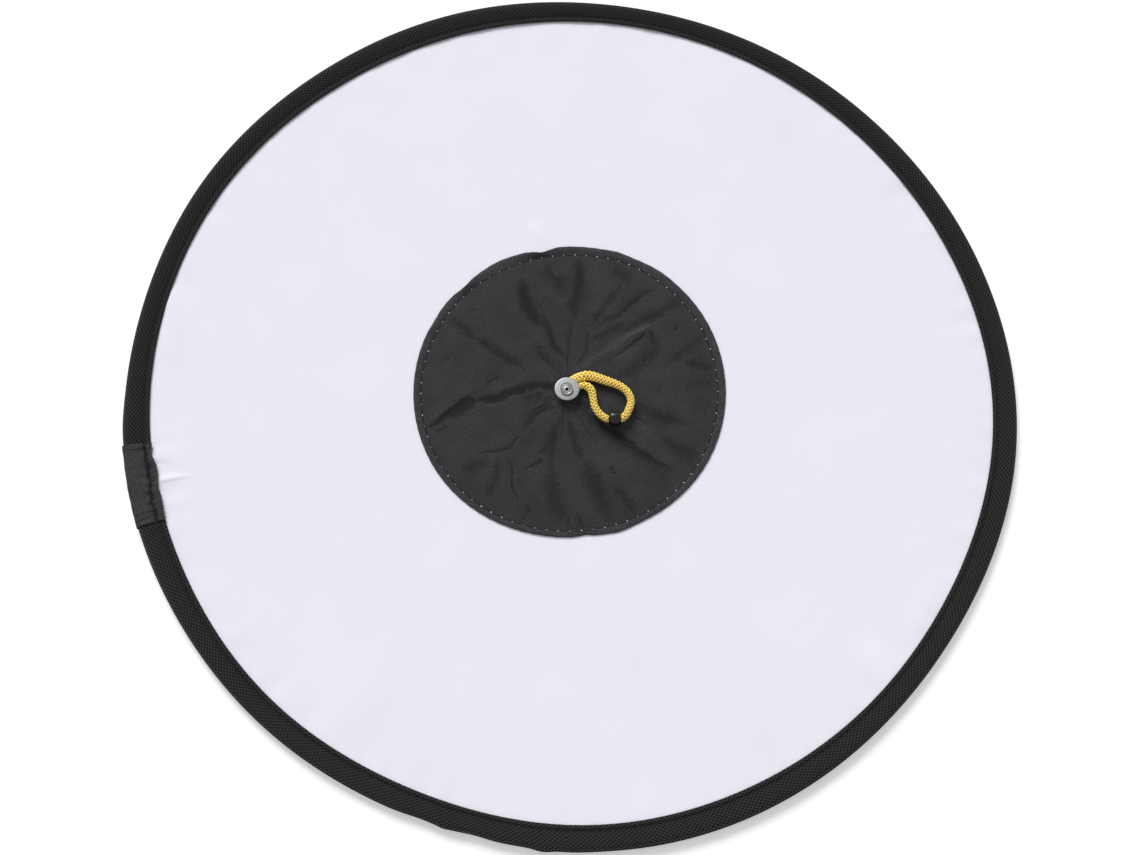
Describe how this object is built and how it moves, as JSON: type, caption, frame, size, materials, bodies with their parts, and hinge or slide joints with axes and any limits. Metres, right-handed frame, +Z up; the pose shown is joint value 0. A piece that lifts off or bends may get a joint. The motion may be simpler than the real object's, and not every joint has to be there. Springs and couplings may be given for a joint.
{
  "type": "collapsible diffuser panel",
  "caption": "Round pop-up light panel: white diffuser cloth on a tape-bound spring hoop, black centre disc and riveted cord pull loop; the sides bend up into a U to begin folding.",
  "frame": {"origin": "centre of the panel on the floor, under the rivet, at the underside of the rim", "axes": "+Z up out of the front face, +X to the right and +Y up the panel as the picture shows it"},
  "size_m": [0.4498, 0.45, 0.0105],
  "materials": {
    "diffuser_taffeta": "white polyester taffeta, plain woven, slightly translucent, stretched by the hoop",
    "centre_nylon": "matt black coated nylon cloth, creased, topstitched in black thread",
    "binding_tape": "black woven polyester binding tape, matt, sewn down along the hoop",
    "spring_steel": "blued spring steel strip, hidden in the tape",
    "nickel_plate": "satin nickel plated steel, stamped and tumbled",
    "yellow_cord": "golden yellow braided polyester cord",
    "sleeve_rubber": "smooth black shrink sleeve, slight gloss"
  },
  "bodies": {
    "middle": {"binding_top": "binding_tape", "binding_bottom": "binding_tape", "hoop_top": "spring_steel", "hoop_left_end": "spring_steel", "hoop_right_end": "spring_steel", "hoop_splice": "spring_steel", "diffuser_middle": "diffuser_taffeta", "centre_disc": "centre_nylon", "back_washer": "nickel_plate", "rivet": "nickel_plate"},
    "left_wing": {"binding_left_upper": "binding_tape", "binding_left_lower": "binding_tape", "joint_tab": "centre_nylon", "hoop_left": "spring_steel", "diffuser_left": "diffuser_taffeta"},
    "right_wing": {"binding_right": "binding_tape", "hoop_right": "spring_steel", "diffuser_right": "diffuser_taffeta"},
    "loop_turn": {"front_washer": "nickel_plate", "cord_bight": "yellow_cord"},
    "pull_loop": {"pull_cord_upper": "yellow_cord", "pull_cord_lower": "yellow_cord", "cord_sleeve": "sleeve_rubber"}
  },
  "joints": [
    {"name": "fold_left", "type": "hinge", "parent": "middle", "child": "left_wing", "pos_m": [-0.086, 0, 0.0055], "axis": [0, 1, 0], "range_deg": [0, 110], "stiffness_Nm_per_rad": 0.6},
    {"name": "fold_right", "type": "hinge", "parent": "middle", "child": "right_wing", "pos_m": [0.086, 0, 0.0055], "axis": [0, -1, 0], "range_deg": [0, 110], "stiffness_Nm_per_rad": 0.6},
    {"name": "loop_swivel", "type": "hinge", "parent": "middle", "child": "loop_turn", "pos_m": [0, 0, 0], "axis": [0, 0, 1], "continuous": true},
    {"name": "loop_lift", "type": "hinge", "parent": "loop_turn", "child": "pull_loop", "pos_m": [0.0075, 0, 0.0084], "axis": [0, -1, 0], "range_deg": [0, 90]}
  ],
  "couplings": [
    {"joint": "fold_right", "follows": "fold_left", "ratio": 1}
  ]
}
